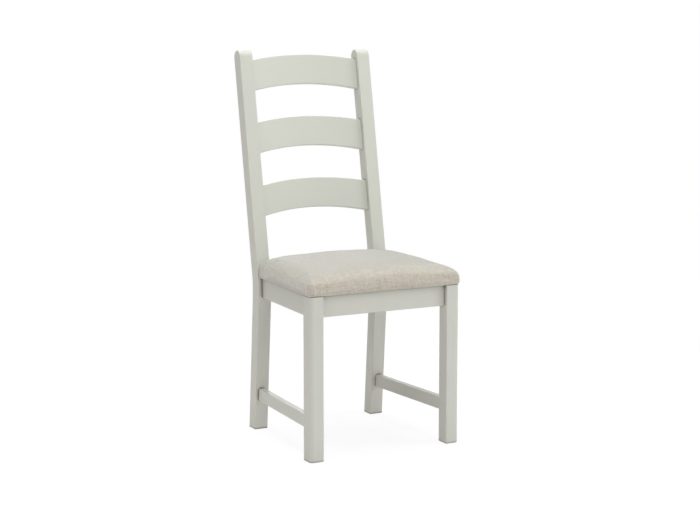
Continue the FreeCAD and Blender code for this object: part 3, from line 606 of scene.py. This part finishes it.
def pull_in(pad):
    """Draws the sides in between the corners, where the cloth is tight."""
    for vertex in pad.data.vertices:
        x, y = vertex.co.xy
        along = (y - SEAT_LOW.y) / (SEAT_HIGH.y - SEAT_LOW.y)
        across = 0.5 + 0.5 * x / half_width(y)
        to_side = half_width(y) - abs(x)
        to_end = min(y - SEAT_LOW.y, SEAT_HIGH.y - y)
        if to_side < PULL_DEPTH:
            pull = PULL_IN * math.sin(math.pi * along) ** 2 * (1 - to_side / PULL_DEPTH)
            vertex.co.x -= math.copysign(pull, x)
        if to_end < PULL_DEPTH:
            pull = PULL_IN * math.sin(math.pi * across) ** 2 * (1 - to_end / PULL_DEPTH)
            vertex.co.y += pull if along < 0.5 else -pull


def fold_corners(pad):
    """Presses a soft upright fold into each side near its rear corner, where the cloth is
    gathered round the corner."""
    facing = [abs(vertex.normal.x) for vertex in pad.data.vertices]
    for vertex, sideways in zip(pad.data.vertices, facing):
        off = (SEAT_HIGH.y - FOLD_FROM_REAR - vertex.co.y) / FOLD_WIDTH
        depth = FOLD_DEPTH * sideways * math.exp(-off * off)
        vertex.co.x -= math.copysign(depth, vertex.co.x)


def make_seat_pad():
    """The cushion, in its cloth, in place of the solids of its cover and foam."""
    pad = pad_start()
    inflate(pad)
    pull_in(pad)
    smooth = pad.modifiers.new("smooth", "CORRECTIVE_SMOOTH")
    smooth.use_only_smooth = True
    smooth.iterations = SMOOTH_STEPS
    divide = pad.modifiers.new("divide", "SUBSURF")
    divide.levels = divide.render_levels = 1
    applied(pad)
    fold_corners(pad)
    for polygon in pad.data.polygons:
        polygon.use_smooth = True
    pad.data.materials.clear()
    pad.data.materials.append(make_seat_fabric())
    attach(pad, "root")
    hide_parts("seat_cover", "seat_foam")


make_seat_pad()


# The stage: white floor, white surroundings and soft light

FLOOR_SIZE = 60.0
SHADOW_NEAR = 0.9
SHADOW_FAR = 1.8
FLOOR_COLOUR = rgb(0.90, 0.89, 0.895)
SHADOW_COLOUR = rgb(0.14, 0.14, 0.14)
SHADOW_WHITE = 0.88
WORLD_LIGHT = 0.25
WORLD_COLOUR = rgb(1.0, 0.99, 1.0)
WHITE = rgb(1.0, 1.0, 1.0)
FULL_WHITE = 1.0


def seen_directly(graph):
    """1 for rays from the camera, and those that show it a reflection or what lies behind."""
    path = graph.node("LightPath").outputs
    either = graph.math("MAXIMUM", path["Is Camera Ray"], path["Is Glossy Ray"])
    return graph.math("MAXIMUM", either, path["Is Transmission Ray"])


def make_floor():
    """A white floor that shows the camera the chair's shadow near its feet."""
    bpy.ops.mesh.primitive_plane_add(size=FLOOR_SIZE)
    floor = bpy.context.object
    floor.name = "floor"
    graph = new_material("white_floor")
    matt = graph.shader("BsdfDiffuse", Color=FLOOR_COLOUR)
    near = graph.node("AddShader")
    graph.feed(near.inputs[0], graph.shader("BsdfDiffuse", Color=SHADOW_COLOUR))
    graph.feed(near.inputs[1], graph.shader("Emission", Strength=SHADOW_WHITE))
    far = graph.shader("Emission", Strength=FULL_WHITE)
    away = graph.node("VectorMath", operation="LENGTH")
    graph.feed(away.inputs[0], graph.object_point())
    share = graph.between(away.outputs["Value"], SHADOW_NEAR, SHADOW_FAR)
    shown = graph.mixed(share, near.outputs[0], far)
    floor.data.materials.append(graph.finish(graph.mixed(seen_directly(graph), matt, shown)))


def make_world():
    """White to the camera and in reflections, and a plain soft light to everything else."""
    world = bpy.context.scene.world or bpy.data.worlds.new("white")
    bpy.context.scene.world = world
    graph = Graph(world, "OutputWorld")
    lit = graph.shader("Background", Color=WORLD_COLOUR, Strength=WORLD_LIGHT)
    shown = graph.shader("Background", Color=WHITE, Strength=FULL_WHITE)
    graph.finish(graph.mixed(seen_directly(graph), lit, shown))


# Each lamp's name, place, size, watts and colour. All of them aim at the middle of the chair.
LAMP_AIM = (0.0, 0.0, 0.6)
LAMPS = (
    ("key", (7.4, -4.2, 4.6), 3.8, 348.0, (1.0, 0.955, 1.0)),
    ("left_fill", (-6.6, -4.0, 2.6), 3.4, 104.0, (1.0, 0.76, 0.88)),
    ("ceiling", (-0.4, -1.6, 4.4), 3.0, 58.0, (0.84, 1.0, 0.90)),
    ("overhead", (-0.2, 0.6, 4.4), 3.0, 102.0, (0.96, 0.98, 1.0)),
    ("front_fill", (-1.2, -6.4, 0.9), 3.0, 24.0, (1.0, 0.93, 0.97)),
    ("back_fill", (1.4, 4.8, 1.5), 2.4, 60.0, (1.0, 1.0, 1.0)),
)


def make_lights():
    """Large soft lamps round and above the chair."""
    for name, place, size, watts, colour in LAMPS:
        data = bpy.data.lights.new(name, "AREA")
        data.shape = "SQUARE"
        data.size = size
        data.energy = watts
        data.color = colour
        lamp = new_object(name, data)
        lamp.location = place
        towards = Vector(LAMP_AIM) - Vector(place)
        lamp.rotation_euler = towards.to_track_quat("-Z", "Y").to_euler()


def make_camera():
    """The camera, at the photograph's viewing angle."""
    data = bpy.data.cameras.new("camera")
    data.sensor_width = CAMERA_SENSOR
    data.lens = CAMERA_LENS
    data.shift_y = CAMERA_SHIFT
    camera = new_object("camera", data)
    camera.location = (CAMERA_ACROSS, LEG_LOW.y - CAMERA_BEFORE, CAMERA_HEIGHT)
    flat = math.cos(CAMERA_ELEVATION)
    back = Vector((
        math.sin(CAMERA_AZIMUTH) * flat,
        -math.cos(CAMERA_AZIMUTH) * flat,
        math.sin(CAMERA_ELEVATION),
    ))
    camera.rotation_euler = (-back).to_track_quat("-Z", "Y").to_euler()
    bpy.context.scene.camera = camera


make_floor()
make_world()
make_lights()
make_camera()
bpy.context.scene.view_settings.view_transform = "Standard"
